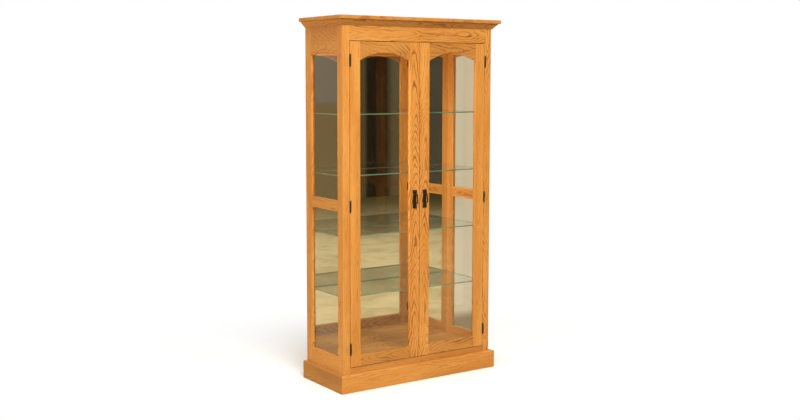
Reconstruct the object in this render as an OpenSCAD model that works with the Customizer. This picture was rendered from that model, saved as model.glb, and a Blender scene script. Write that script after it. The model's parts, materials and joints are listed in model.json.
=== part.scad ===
// Curio cabinet in oak: a glazed cupboard with two arched doors, glazed sides,
// a mirror back and glass shelves on pegs.
// X is the width, Y runs from the doors (-) to the back (+), Z is up from the floor.
// The origin is on the floor, midway along both sides of the whole footprint.

/* [Overall] */
// Height from the floor to the top of the crown
overall_h = 2030; // [1690:5:2440]
// Width across the cabinet's body
body_w = 1006; // [840:2:1210]
// Depth of the cabinet's body, from the face frame to the back
body_d = 394; // [328:2:480]

/* [Crown] */
// How far the top board stands past the body at the front and sides
crown_overhang = 40; // [32:1:60]
// Thickness of the top board
crown_board_t = 20; // [15:1:26]
// Height of the bevelled moulding under the top board
moulding_h = 31; // [24:1:40]
// How far the moulding stands out from the body
moulding_run = 28; // [20:1:31]

/* [Plinth] */
// Height of the plinth boards
plinth_h = 98; // [80:1:120]
// Thickness of the plinth boards
plinth_t = 25; // [18:1:30]

/* [Face frame] */
// Thickness of the face frame
face_t = 20; // [18:0.5:26]
// Width of the face frame's stiles
face_stile_w = 44; // [38:1:56]
// Height of the face frame's top rail
face_head_h = 112; // [90:1:140]
// Height of the bottom rail that shows above the plinth
face_sill_h = 32; // [20:1:50]
// How far the bottom rails and the back panel run down behind the plinth
rail_lap = 38; // [20:1:60]

/* [Doors] */
// Thickness of the doors
door_t = 19.5; // [17:0.5:22]
// Gap round a door in its frame
door_gap = 2.5; // [2.5:0.1:3.5]
// Gap between the two doors
meeting_gap = 3; // [2:0.5:5]
// Width of the door stiles
door_stile_w = 65; // [50:1:80]
// Height of the door's bottom rail
door_foot_h = 62; // [50:1:90]
// Height of the door's arched top rail at its ends
door_head_h = 100; // [90:1:130]
// Rise of the arch in a door
door_arch = 40; // [30:1:48]

/* [Side frames] */
// Thickness of the side frames
side_t = 20; // [18:0.5:26]
// Width of the side frame's front stile
side_front_w = 35; // [30:1:45]
// Width of the side frame's rear stile
side_rear_w = 65; // [50:1:80]
// Height of the side's bottom rail that shows above the plinth
side_foot_h = 90; // [70:1:120]
// Height of the lower side pane's opening
side_lower_h = 797; // [650:1:960]
// Height of the side's middle rail
side_middle_h = 60; // [40:1:80]
// Height of the side's arched top rail at its ends
side_head_h = 187; // [165:1:220]
// Rise of the arch in a side
side_arch = 14; // [10:1:20]

/* [Panels] */
// Thickness of the floor and ceiling panels
panel_t = 19; // [16:0.5:22]
// How far the floor and ceiling panels pass the face rails, to stop the doors
stop_lap = 5; // [4:0.5:8]
// Thickness of the back panel
back_t = 6; // [5:0.5:9]
// How far the back panel lies over each rear stile
back_lap = 14; // [13:0.5:15]

/* [Glass] */
// Thickness of the door and side panes
pane_t = 3; // [3:0.5:4]
// Depth of wood in front of a pane
pane_setback = 12; // [10:0.5:12.5]
// Width of the rebate that holds a pane
rebate_w = 8; // [6:0.5:8]
// Gap between a pane's edge and its rebate
pane_gap = 1; // [0.5:0.5:2]
// Thickness of the mirror
mirror_t = 4; // [3:0.5:6]
// How far the mirror runs past the opening it fills
mirror_lap = 8; // [6:0.5:8]

/* [Shelves] */
// Thickness of the glass shelves
shelf_t = 6; // [5:0.5:8]
// Gap between a shelf and each side
shelf_gap = 2; // [1:0.5:3]
// How far the shelves stop behind the face frame
shelf_setback = 14; // [10:1:16]
// Distance from one peg hole to the next
peg_pitch = 55; // [46:1:66]
// Height of the first peg hole above the floor panel
peg_first = 100; // [70:1:140]
// Peg holes from one shelf to the next
peg_rows_apart = 6; // [5:1:6]
// Diameter of the shelf pegs
peg_d = 5; // [4:0.5:6]
// Depth that a peg goes into the wood
peg_depth = 10; // [7:0.5:12]

/* [Hinges] */
// Diameter of the hinge barrel
barrel_d = 9; // [8:0.5:12]
// Length of the hinge leaves and barrel
leaf_h = 50; // [42:1:64]
// Thickness of the hinge leaves where they lie on wood
leaf_t = 1.2; // [1:0.1:1.6]
// Width of the hinge leaf behind the frame
leaf_w = 18; // [15:0.5:20]
// Diameter of the hinge pin
hinge_pin_d = 4; // [3:0.5:5]
// Distance from a door's end to the middle of its outer hinges
hinge_inset = 102; // [70:1:150]

/* [Handles] */
// Height of the handle's back plate
plate_h = 103; // [86:1:124]
// Width of the plate at its flared ends
plate_end_w = 27; // [24:0.5:34]
// Width of the plate at its waist
plate_waist_w = 19; // [18:0.5:22]
// Thickness of the plate
plate_t = 3.5; // [2.5:0.5:5]
// Diameter of the bail's round bar
bail_d = 7; // [5.5:0.5:8]
// Height of the bail's pivot above the plate's middle
pivot_up = 26; // [20:1:30]
// Distance from the plate's face to the bail's pivot
pivot_out = 5; // [4.5:0.5:8]
// Half of the bail's width at its foot
bail_foot_half = 17; // [15:0.5:20]
// Drop from the bail's pivot to the corners of its foot
bail_drop = 43; // [38:1:48]
// Drop from those corners to the middle of the foot
bail_dip = 7; // [4:0.5:9]
// Diameter of the ends of the bail that turn in the plate
dog_d = 3.5; // [3:0.5:4]

/* [Fits] */
// Gap all round a pin or a peg that turns or slides in its hole
pin_play = 0.05; // [0.03:0.01:0.08]
// Gap between parts that lie side by side and can be lifted apart
part_gap = 0.5; // [0.4:0.1:0.8]
// Radius of the eased edges of the frames
ease = 2; // [1:0.5:2.5]

/* [Hidden] */

OAK = "#E29A4E";
OAK_SIDE = "#C9853F";
CLEAR = "#BFD8CC";
SILVER = "#AEB4B4";
IRON = "#1E1B19";
STEEL = "#B8B8B8";
BROWN = "#5A3A22";

LEFT = -1;
RIGHT = 1;
past = 1; // how far a cutter runs past the face it cuts

// Body, measured from the face frame's front
face_y = (crown_overhang - body_d) / 2;
body_half = body_w / 2;
top_z = overall_h - crown_board_t;
inner_half = body_half - side_t;
rail_z = plinth_h - rail_lap;

// Door opening in the face frame
open_half = body_half - face_stile_w;
open_z0 = plinth_h + face_sill_h;
open_z1 = top_z - face_head_h;
floor_z = open_z0 + stop_lap;
ceiling_z = open_z1 - stop_lap;

// One door, on the right
door_x0 = meeting_gap / 2;
door_x1 = open_half - door_gap;
door_w = door_x1 - door_x0;
door_z0 = open_z0 + door_gap;
door_z1 = open_z1 - door_gap;
door_h = door_z1 - door_z0;

// One side frame, measured back from the face frame
side_w = body_d - face_t;
side_lower_z = plinth_h + side_foot_h;
side_upper_z = side_lower_z + side_lower_h + side_middle_h;
side_spring_z = top_z - side_head_h;

// Beads that hold the panes
bead_gap = 0.2;

// Back and mirror
back_y = body_d - back_t;
mirror_y = back_y - mirror_t;
mirror_end_lap = 15;
base_rail_t = 20;

// Shelves
peg_play = 1;
peg_z0 = floor_z + peg_first;
peg_top_margin = 60;
peg_rows = floor((ceiling_z - peg_top_margin - peg_z0) / peg_pitch) + 1;
peg_front_y = face_t + 22;
peg_rear_y = mirror_y - 10;
peg_plate = [12, 10, 2];
first_shelf_row = peg_rows_apart - 1;
shelf_y0 = face_t + shelf_setback;
shelf_y1 = mirror_y - shelf_gap - 1;

// Hinges: the pin stands in front of the middle of the gap
hinge_x = open_half - door_gap / 2;
hinge_y = -(barrel_d / 2 + part_gap);
flange_t = (door_gap - part_gap) / 2;
knuckle_gap = 0.3;
knuckle_h = leaf_h / 3;
finial_r = barrel_d / 2;
finial_z = leaf_h / 2 + pin_play + sqrt(finial_r * finial_r - hinge_pin_d * hinge_pin_d / 4);
hinge_zs = [door_z0 + hinge_inset, (door_z0 + door_z1) / 2, door_z1 - hinge_inset];

// Screws
screw_r = 1.5;
screw_depth = 12;
screw_head_r = 3;
screw_head_h = 1.6;
hinge_screw_x = leaf_w * 0.6;
hinge_screw_z = leaf_h * 0.3;
back_screw_x = inner_half + mirror_lap + (back_lap - mirror_lap) / 2 + 0.5;
back_screw_rows = 8;

// Catches and strike plates
catch_x = door_stile_w / 2 + door_x0;
catch_size = [32, 20, 14];
catch_ear = [10, 12, 2];
strike_size = [26, 1, 11];

// Handles
handle_x = door_x0 + door_stile_w / 2;
handle_z = (door_z0 + door_z1) / 2 + 14.5;
plate_screw_z = plate_h / 2 - 8;
pivot_y = -(plate_t + pivot_out);
pivot_z = handle_z + pivot_up;
knuckle_w = plate_waist_w - 4;
bail_half = knuckle_w / 2 + 0.75 + bail_d / 2;

// ---------- helpers ----------

// Moves a shape measured from the face frame's front to its place
module at_face() {
  translate([0, face_y, 0]) children();
}

// Leaves a shape on the right as it is, or mirrors it to the left
module on_side(side) {
  mirror([side == LEFT ? 1 : 0, 0, 0]) children();
}

// What a round-over takes off the edge of wood that fills +X and +Y, along Z
module round_cut(r, l) {
  difference() {
    translate([-past, -past, 0]) cube([r + past, r + past, l]);
    translate([r, r, -past]) cylinder(r = r, h = l + 2 * past, $fn = 32);
  }
}

// Round-over along an upright front edge at x; wood lies on its wood (-1 or 1) side
module ease_up(x, z0, z1, r, wood) {
  translate([x, 0, z0]) mirror([wood < 0 ? 1 : 0, 0, 0]) round_cut(r, z1 - z0);
}

// Round-over along a level front edge at z; wood lies below (-1) or above (1)
module ease_level(z, x0, x1, r, wood) {
  translate([x0, 0, z]) mirror([0, 0, wood > 0 ? 1 : 0]) rotate([0, 90, 0]) round_cut(r, x1 - x0);
}

// Round-over where two eased edges of an opening meet in a square corner
module ease_corner(x, z, r, wood_x, wood_z) {
  intersection() {
    ease_up(x, z - r - past, z + r + past, r, wood_x);
    ease_level(z, x - r - past, x + r + past, r, wood_z);
  }
}

// Radius of the arch over a chord with a rise
function arch_r(chord, rise) = (chord * chord / 4 + rise * rise) / (2 * rise);

// Outline of an opening whose head springs at z1 and rises in an arc
module opening_outline(x0, x1, z0, z1, rise) {
  translate([x0, z0]) square([x1 - x0, z1 - z0]);
  if (rise > 0) {
    r = arch_r(x1 - x0, rise);
    intersection() {
      translate([(x0 + x1) / 2, z1 + rise - r]) circle(r, $fn = 160);
      translate([x0, z1 - past]) square([x1 - x0, rise + 2 * past]);
    }
  }
}

// Round-over along the front edge of an arch
module ease_arch(x0, x1, z1, rise, r) {
  arc = arch_r(x1 - x0, rise);
  intersection() {
    translate([(x0 + x1) / 2, 0, z1 + rise - arc]) rotate([-90, 0, 0]) rotate_extrude($fn = 160)
      difference() {
        translate([arc - past, -past]) square([r + past, r + past]);
        translate([arc + r, r]) circle(r, $fn = 32);
      }
    translate([x0 - r, -past, z1]) cube([x1 - x0 + 2 * r, r + 2 * past, rise + r + past]);
  }
}

// Everything that one glazed opening takes out of a frame with its face at y = 0
module opening(x0, x1, z0, z1, rise, t, rebated = true) {
  translate([0, t + past, 0]) rotate([90, 0, 0]) linear_extrude(t + 2 * past)
    opening_outline(x0, x1, z0, z1, rise);
  ease_up(x0, z0, z1, ease, -1);
  ease_up(x1, z0, z1, ease, 1);
  ease_level(z0, x0, x1, ease, -1);
  ease_corner(x0, z0, ease, -1, -1);
  ease_corner(x1, z0, ease, 1, -1);
  if (rise > 0) {
    ease_arch(x0, x1, z1, rise, ease);
  } else {
    ease_level(z1, x0, x1, ease, 1);
    ease_corner(x0, z1, ease, -1, 1);
    ease_corner(x1, z1, ease, 1, 1);
  }
  if (rebated)
    translate([x0 - rebate_w, pane_setback, z0 - rebate_w])
      cube([x1 - x0 + 2 * rebate_w, t, z1 + rise - z0 + 2 * rebate_w]);
}

// The pane that fills an opening's rebate
module pane(x0, x1, z0, z1, rise) {
  g = rebate_w - pane_gap;
  translate([x0 - g, pane_setback, z0 - g]) cube([x1 - x0 + 2 * g, pane_t, z1 + rise - z0 + 2 * g]);
}

// One bead along Z behind a pane, its inner corner bevelled; its back is at y = t
module bead(l, t) {
  d = t - pane_setback - pane_t - bead_gap;
  w = rebate_w - bead_gap;
  bevel = d / 2;
  translate([0, t - d, 0]) linear_extrude(l)
    polygon([[0, 0], [w, 0], [w, d - bevel], [w - bevel, d], [0, d]]);
}

// The four beads that hold a pane against the frame
module beads(x0, x1, z0, z1, rise, t) {
  bottom = z0 - rebate_w + bead_gap;
  top = z1 + rise + rebate_w - bead_gap;
  left = x0 - rebate_w + bead_gap;
  right = x1 + rebate_w - bead_gap;
  inner = right - left - 2 * rebate_w;
  translate([left, 0, bottom]) bead(top - bottom, t);
  translate([right, 0, bottom]) mirror([1, 0, 0]) bead(top - bottom, t);
  translate([left + rebate_w, 0, bottom]) mirror([0, 0, 1]) rotate([0, 90, 0]) bead(inner, t);
  translate([left + rebate_w, 0, top]) rotate([0, 90, 0]) bead(inner, t);
}

// A pan-head screw: head on the plane y = 0, facing -Y, shank into +Y past a plate
module screw(depth = screw_depth) {
  rotate([90, 0, 0]) {
    cylinder(r1 = screw_head_r, r2 = screw_head_r * 0.6, h = screw_head_h, $fn = 24);
    translate([0, 0, -depth]) cylinder(r = screw_r, h = depth + screw_head_h / 2, $fn = 24);
  }
}

// The pilot hole for a screw, from y = 0 into +Y
module pilot(depth = screw_depth) {
  translate([0, -past, 0]) rotate([-90, 0, 0])
    cylinder(r = screw_r + pin_play, h = depth + past + pin_play, $fn = 24);
}

// ---------- plinth ----------

// A board lying outside a corner-mitred run: length along X, face at y = -t
module mitred_board(x0, x1, h, t, mitre0, mitre1) {
  linear_extrude(h)
    polygon([[x0, 0], [x1, 0], [x1 + (mitre1 ? t : 0), -t], [x0 - (mitre0 ? t : 0), -t]]);
}

plinth_round = 5;

module plinth_run(x0, x1, mitre0, mitre1) {
  difference() {
    mitred_board(x0, x1, plinth_h, plinth_t, mitre0, mitre1);
    translate([0, -plinth_t, 0])
      ease_level(plinth_h, x0 - plinth_t - past, x1 + plinth_t + past, plinth_round, -1);
  }
}

module plinth_front() {
  color(OAK) at_face() plinth_run(-body_half, body_half, true, true);
}

module plinth_side(side) {
  color(OAK_SIDE) at_face() on_side(side) translate([body_half, 0, 0]) rotate([0, 0, 90])
    plinth_run(0, body_d, true, false);
}

module back_base_rail() {
  color(OAK) at_face() translate([-inner_half, back_y - base_rail_t, 0])
    cube([2 * inner_half, base_rail_t, plinth_h]);
}

// ---------- face frame ----------

module face_frame() {
  difference() {
    translate([-body_half, 0, 0]) cube([body_w, face_t, top_z]);
    ease_up(-body_half, -past, top_z + past, ease, 1);
    ease_up(body_half, -past, top_z + past, ease, -1);
    opening(-open_half, open_half, open_z0, open_z1, 0, face_t, false);
  }
}

module face_stile(side) {
  color(OAK) at_face() difference() {
    intersection() {
      face_frame();
      on_side(side) translate([open_half, 0, 0]) cube([face_stile_w, face_t, top_z]);
    }
    on_side(side) for (z = hinge_zs, dz = [-hinge_screw_z, hinge_screw_z])
      translate([open_half + hinge_screw_x - flange_t, face_t, z + dz]) rotate([0, 0, 180]) pilot();
  }
}

module face_rail(z0, z1) {
  color(OAK) at_face() intersection() {
    face_frame();
    translate([-open_half, 0, z0]) cube([2 * open_half, face_t, z1 - z0]);
  }
}

// ---------- side frames ----------

// Stands a frame drawn with its face at y = 0 on the cabinet's side, front end first
module on_flank(side) {
  on_side(side) translate([body_half, face_t, 0]) rotate([0, 0, 90]) children();
}

module side_openings() {
  x0 = side_front_w;
  x1 = side_w - side_rear_w;
  opening(x0, x1, side_lower_z, side_lower_z + side_lower_h, 0, side_t);
  opening(x0, x1, side_upper_z, side_spring_z, side_arch, side_t);
}

// Holes for the shelf pegs, drilled from the inside
module peg_holes() {
  for (y = [peg_front_y, peg_rear_y], row = [0 : peg_rows - 1])
    translate([y - face_t, side_t + past, peg_z0 + row * peg_pitch]) rotate([90, 0, 0])
      cylinder(d = peg_d + 2 * pin_play, h = peg_depth + peg_play + past, $fn = 24);
}

// Rebates behind the rear stile for the mirror and the back panel
module back_rebates() {
  mirror_w = mirror_lap + part_gap;
  panel_w = back_lap + part_gap;
  depth = body_d - mirror_y;
  translate([side_w - depth, side_t - mirror_w, floor_z - mirror_end_lap - part_gap])
    cube([depth + past, mirror_w + past, ceiling_z - floor_z + 2 * (mirror_end_lap + part_gap)]);
  translate([side_w - back_t, side_t - panel_w, rail_z - part_gap])
    cube([back_t + past, panel_w + past, top_z]);
}

// Places a child at every back panel screw, on the inside of the back panel's outer face
module at_back_screws() {
  step = (top_z - rail_z - 2 * 80) / (back_screw_rows - 1);
  for (side = [LEFT, RIGHT], row = [0 : back_screw_rows - 1])
    translate([side * back_screw_x, body_d - screw_head_h, rail_z + 80 + row * step])
      rotate([0, 0, 180]) children();
}

module side_frame_part(side, x0, x1, z0, z1) {
  color(OAK_SIDE) at_face() difference() {
    on_flank(side) intersection() {
      difference() {
        cube([side_w, side_t, top_z]);
        ease_up(side_w, -past, top_z + past, ease, -1);
        side_openings();
        peg_holes();
        back_rebates();
      }
      translate([x0, 0, z0]) cube([x1 - x0, side_t, z1 - z0]);
    }
    if (x1 == side_w) at_back_screws() pilot(screw_depth);
  }
}

module side_front_stile(side) side_frame_part(side, 0, side_front_w, 0, top_z);
module side_rear_stile(side) side_frame_part(side, side_w - side_rear_w, side_w, 0, top_z);
module side_rail(side, z0, z1) side_frame_part(side, side_front_w, side_w - side_rear_w, z0, z1);

module side_glass(side) {
  x0 = side_front_w;
  x1 = side_w - side_rear_w;
  color(CLEAR) at_face() on_flank(side) {
    pane(x0, x1, side_lower_z, side_lower_z + side_lower_h, 0);
    pane(x0, x1, side_upper_z, side_spring_z, side_arch);
  }
}

module side_glass_beads() {
  x0 = side_front_w;
  x1 = side_w - side_rear_w;
  color(OAK_SIDE) at_face() for (side = [LEFT, RIGHT]) on_flank(side) {
    beads(x0, x1, side_lower_z, side_lower_z + side_lower_h, 0, side_t);
    beads(x0, x1, side_upper_z, side_spring_z, side_arch, side_t);
  }
}

// ---------- panels, crown and mirror ----------

// A level panel behind the face frame, cut away where doors thicker than the frame would meet it
module level_panel(z) {
  color(OAK) at_face() difference() {
    translate([-inner_half, face_t, z]) cube([2 * inner_half, mirror_y - part_gap - face_t, panel_t]);
    if (door_t + part_gap > face_t)
      translate([-open_half, 0, open_z0]) cube([2 * open_half, door_t + part_gap, open_z1 - open_z0]);
  }
}

module floor_panel() level_panel(floor_z - panel_t);

module ceiling_panel() {
  difference() {
    level_panel(ceiling_z);
    at_face() at_catch_screws() translate([0, 0, catch_ear[2]]) rotate([90, 0, 0]) pilot();
  }
}

board_round = 3;

module top_board() {
  half = body_half + crown_overhang;
  depth = body_d + crown_overhang;
  color(OAK) at_face() translate([0, -crown_overhang, top_z]) difference() {
    translate([-half, 0, 0]) cube([2 * half, depth, crown_board_t]);
    for (z = [0, crown_board_t]) {
      wood = z == 0 ? 1 : -1;
      ease_level(z, -half - past, half + past, board_round, wood);
      for (side = [LEFT, RIGHT])
        on_side(side) translate([half, 0, 0]) rotate([0, 0, 90])
          ease_level(z, -past, depth + past, board_round, wood);
    }
  }
}

// Bevelled moulding drawn as a run along X with its back at y = 0
module moulding_run_solid(x0, x1, mitre0, mitre1) {
  nose = 3;
  intersection() {
    translate([x0 - moulding_run - past, 0, top_z]) rotate([90, 0, 90])
      linear_extrude(x1 - x0 + 2 * (moulding_run + past))
        polygon([[0, -moulding_h], [0, 0], [-moulding_run, 0], [-moulding_run, -nose], [-nose, -moulding_h]]);
    translate([0, 0, top_z - moulding_h])
      mitred_board(x0, x1, moulding_h, moulding_run, mitre0, mitre1);
  }
}

module crown_front() {
  color(OAK) at_face() moulding_run_solid(-body_half, body_half, true, true);
}

module crown_side(side) {
  color(OAK_SIDE) at_face() on_side(side) translate([body_half, 0, 0]) rotate([0, 0, 90])
    moulding_run_solid(0, body_d, true, false);
}

module mirror_pane() {
  w = inner_half + mirror_lap;
  color(SILVER) at_face() translate([-w, mirror_y, floor_z - mirror_end_lap])
    cube([2 * w, mirror_t, ceiling_z - floor_z + 2 * mirror_end_lap]);
}

module back_panel() {
  w = inner_half + back_lap;
  color(BROWN) at_face() difference() {
    translate([-w, back_y, rail_z]) cube([2 * w, back_t, top_z - rail_z]);
    at_back_screws() {
      pilot();
      translate([0, -screw_head_h - past, 0]) rotate([-90, 0, 0])
        cylinder(r = screw_head_r + part_gap, h = screw_head_h + past, $fn = 24);
    }
  }
}

// ---------- shelves ----------

// Height of the pegs under the shelf counted from the floor
function shelf_peg_z(n) = peg_z0 + (first_shelf_row + (n - 1) * peg_rows_apart) * peg_pitch;

module glass_shelf(n) {
  w = inner_half - shelf_gap;
  color(CLEAR) at_face() translate([-w, shelf_y0, shelf_peg_z(n) + peg_d / 2])
    cube([2 * w, shelf_y1 - shelf_y0, shelf_t]);
}

// One peg in the right side, with the flat tongue that the glass lies on
module shelf_peg() {
  collar = 1.2;
  rotate([0, 90, 0]) cylinder(d = peg_d, h = peg_depth, $fn = 24);
  translate([-collar, 0, 0]) rotate([0, 90, 0]) cylinder(d = peg_d, h = collar, $fn = 24);
  translate([-peg_plate[0], -peg_plate[1] / 2, peg_d / 2 - peg_plate[2]]) cube(peg_plate);
}

module shelf_pegs() {
  color(STEEL) at_face() for (side = [LEFT, RIGHT], n = [1 : 4], y = [peg_front_y, peg_rear_y])
    on_side(side) translate([inner_half, y, shelf_peg_z(n)]) shelf_peg();
}

// ---------- catches ----------

module at_catches() {
  for (side = [LEFT, RIGHT]) translate([side * catch_x, door_t + strike_size[1] + part_gap, ceiling_z])
    children();
}

module at_catch_screws() {
  at_catches() for (dx = [-1, 1])
    translate([dx * (catch_size[0] + catch_ear[0]) / 2, catch_size[1] / 2, -catch_ear[2]]) children();
}

module magnetic_catches() {
  magnet = [catch_size[0] - 8, 1.5, catch_size[2] - 6];
  color(BROWN) at_face() difference() {
    at_catches() {
      translate([-catch_size[0] / 2, 0, -catch_size[2]]) difference() {
        cube(catch_size);
        translate([(catch_size[0] - magnet[0]) / 2, -past, 3]) cube([magnet[0], magnet[1] + past, magnet[2]]);
      }
      ear_w = catch_size[0] + 2 * catch_ear[0];
      translate([-ear_w / 2, (catch_size[1] - catch_ear[1]) / 2, -catch_ear[2]])
        cube([ear_w, catch_ear[1], catch_ear[2]]);
    }
    at_catch_screws() rotate([90, 0, 0]) pilot();
  }
}

// ---------- hinges ----------

// Places a child at each hinge of the right door, on the pin's axis at mid height
module at_hinges() {
  for (z = hinge_zs) translate([hinge_x, hinge_y, z]) children();
}

// A knuckle of the barrel with the strip that ties it to its flange at x
module knuckle(z, h, x) {
  translate([0, 0, z]) {
    difference() {
      cylinder(d = barrel_d, h = h, $fn = 32);
      translate([0, 0, -past]) cylinder(d = hinge_pin_d + 2 * pin_play, h = h + 2 * past, $fn = 32);
    }
    reach = hinge_pin_d / 2 + 0.4;
    translate([x, reach, 0]) cube([flange_t, -hinge_y - reach + past / 2, h]);
  }
}

// The frame's half of one hinge: a flange in the gap and a leaf behind the face frame
module frame_leaf() {
  x = part_gap / 2;
  h = knuckle_h - knuckle_gap;
  difference() {
    union() {
      translate([x, -hinge_y, -leaf_h / 2]) cube([flange_t, face_t + leaf_t, leaf_h]);
      translate([x, face_t - hinge_y, -leaf_h / 2]) cube([leaf_w, leaf_t, leaf_h]);
      knuckle(-leaf_h / 2, h, x);
      knuckle(leaf_h / 2 - h, h, x);
    }
    at_leaf_screws(x + hinge_screw_x, face_t) pilot();
  }
}

// The door's half of one hinge
module door_leaf() {
  x = -part_gap / 2 - flange_t;
  difference() {
    union() {
      translate([x, -hinge_y, -leaf_h / 2]) cube([flange_t, door_t + leaf_t, leaf_h]);
      translate([x + flange_t - leaf_w, door_t - hinge_y, -leaf_h / 2]) cube([leaf_w, leaf_t, leaf_h]);
      knuckle(-knuckle_h / 2, knuckle_h, x);
    }
    at_leaf_screws(x + flange_t - hinge_screw_x, door_t) pilot();
  }
}

// Screw places on a leaf at x that lies at depth t, with the screw's head to the back
module at_leaf_screws(x, t) {
  for (dz = [-hinge_screw_z, hinge_screw_z])
    translate([x, t + leaf_t - hinge_y, dz]) rotate([0, 0, 180]) children();
}

module hinge_frame_leaves() {
  color(IRON) at_face() for (side = [LEFT, RIGHT]) on_side(side) at_hinges() frame_leaf();
}

// One hinge pin with a ball on a collar at each end; each ball only just enters its bore
module hinge_pin() {
  collar = [finial_r * 0.8, 1.5];
  rotate_extrude($fn = 32) {
    translate([0, -leaf_h / 2 - collar[1]]) square([hinge_pin_d / 2, leaf_h + 2 * collar[1]]);
    for (end = [0, 1]) mirror([0, end]) {
      translate([0, leaf_h / 2 + pin_play]) square(collar);
      translate([0, finial_z]) intersection() {
        circle(finial_r, $fn = 32);
        translate([0, -finial_r]) square([finial_r, 2 * finial_r]);
      }
    }
  }
}

module hinge_pins() {
  color(IRON) at_face() for (side = [LEFT, RIGHT]) on_side(side) at_hinges() hinge_pin();
}

module carcass_screws() {
  color(STEEL) at_face() {
    for (side = [LEFT, RIGHT]) on_side(side) at_hinges()
      at_leaf_screws(part_gap / 2 + hinge_screw_x, face_t) screw();
    at_back_screws() screw();
    at_catch_screws() rotate([90, 0, 0]) screw();
  }
}

// ---------- doors ----------

door_open = [door_stile_w, door_w - door_stile_w, door_foot_h, door_h - door_head_h];

module door_frame() {
  difference() {
    cube([door_w, door_t, door_h]);
    ease_up(0, -past, door_h + past, ease, 1);
    ease_up(door_w, -past, door_h + past, ease, -1);
    ease_level(0, -past, door_w + past, ease, 1);
    ease_level(door_h, -past, door_w + past, ease, -1);
    opening(door_open[0], door_open[1], door_open[2], door_open[3], door_arch, door_t);
  }
}

module on_door(side) {
  at_face() on_side(side) translate([door_x0, 0, door_z0]) children();
}

// Screw places of the door's own hardware: hinge leaves, strike plate and handle plate
module at_strike_screw() {
  translate([catch_x, door_t + strike_size[1], ceiling_z - catch_size[2] / 2]) rotate([0, 0, 180]) children();
}

module at_plate_screws() {
  for (dz = [-plate_screw_z, plate_screw_z]) translate([handle_x, -plate_t, handle_z + dz]) children();
}

module at_door_leaf_screws() {
  at_hinges() at_leaf_screws(-part_gap / 2 - hinge_screw_x, door_t) children();
}

module door_part(side, x0, x1, z0, z1) {
  color(OAK) difference() {
    on_door(side) intersection() {
      door_frame();
      translate([x0, 0, z0]) cube([x1 - x0, door_t, z1 - z0]);
    }
    at_face() on_side(side) {
      at_door_leaf_screws() pilot();
      at_plate_screws() pilot(screw_depth + plate_t);
      at_strike_screw() pilot();
    }
  }
}

module door_hinge_stile(side) door_part(side, door_open[1], door_w, 0, door_h);
module door_meeting_stile(side) door_part(side, 0, door_open[0], 0, door_h);
module door_top_rail(side) door_part(side, door_open[0], door_open[1], door_open[3], door_h);
module door_bottom_rail(side) door_part(side, door_open[0], door_open[1], 0, door_open[2]);

module door_glass(side) {
  color(CLEAR) on_door(side) pane(door_open[0], door_open[1], door_open[2], door_open[3], door_arch);
}

module door_beads(side) {
  color(OAK) on_door(side) beads(door_open[0], door_open[1], door_open[2], door_open[3], door_arch, door_t);
}

module door_leaves(side) {
  color(IRON) at_face() on_side(side) at_hinges() door_leaf();
}

module door_screws(side) {
  color(IRON) at_face() on_side(side) {
    at_door_leaf_screws() screw();
    at_plate_screws() screw(screw_depth + plate_t);
    at_strike_screw() rotate([-90, 0, 0]) flat_screw();
  }
}

// A flat-head screw whose head fills a plate's thickness, shank along +Z
module flat_screw() {
  cylinder(r = screw_head_r * 0.8, h = strike_size[1], $fn = 24);
  cylinder(r = screw_r, h = screw_depth, $fn = 24);
}

module strike_plate(side) {
  color(STEEL) at_face() on_side(side) difference() {
    translate([catch_x - strike_size[0] / 2, door_t, ceiling_z - catch_size[2] / 2 - strike_size[2] / 2])
      cube(strike_size);
    at_strike_screw() translate([0, -past, 0]) rotate([-90, 0, 0])
      cylinder(r = screw_head_r * 0.8 + pin_play, h = strike_size[1] + 2 * past, $fn = 24);
  }
}

// ---------- handles ----------

// Half of the plate's outline, up from its middle
function plate_side(end, waist) = [
  [waist, plate_h / 2 - 27], [waist + 0.5, plate_h / 2 - 22], [end, plate_h / 2 - 14], [end, plate_h / 2]
];

module plate_outline() {
  up = plate_side(plate_end_w / 2, plate_waist_w / 2);
  down = [for (i = [len(up) - 1 : -1 : 0]) [up[i][0], -up[i][1]]];
  right = concat(down, up);
  left = [for (i = [len(right) - 1 : -1 : 0]) [-right[i][0], right[i][1]]];
  polygon(concat(right, left));
}

module handle_plate(side) {
  post = 2 * pivot_out - 2;
  color(IRON) at_face() on_side(side) difference() {
    union() {
      translate([handle_x, 0, handle_z]) rotate([90, 0, 0]) linear_extrude(plate_t) plate_outline();
      translate([handle_x - knuckle_w / 2, pivot_y, pivot_z]) rotate([0, 90, 0])
        cylinder(d = post, h = knuckle_w, $fn = 32);
      translate([handle_x - knuckle_w / 2, pivot_y, pivot_z - post / 2])
        cube([knuckle_w, -pivot_y - plate_t / 2, post]);
    }
    translate([handle_x - plate_end_w, pivot_y, pivot_z]) rotate([0, 90, 0])
      cylinder(d = dog_d + 2 * pin_play, h = 2 * plate_end_w, $fn = 32);
    at_plate_screws() pilot(screw_depth + plate_t);
  }
}

// A length of the bail's bar between two points of its plane, each across and up
module bail_bar(from, to) {
  run = to - from;
  translate([from[0], pivot_y, from[1]]) rotate([0, atan2(run[0], run[1]), 0])
    cylinder(d = bail_d, h = norm(run), $fn = 24);
}

// A forged swelling where two lengths of the bail's bar meet
module bar_knot(place) {
  translate([place[0], pivot_y, place[1]]) sphere(d = bail_d + 0.3, $fn = 32);
}

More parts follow.
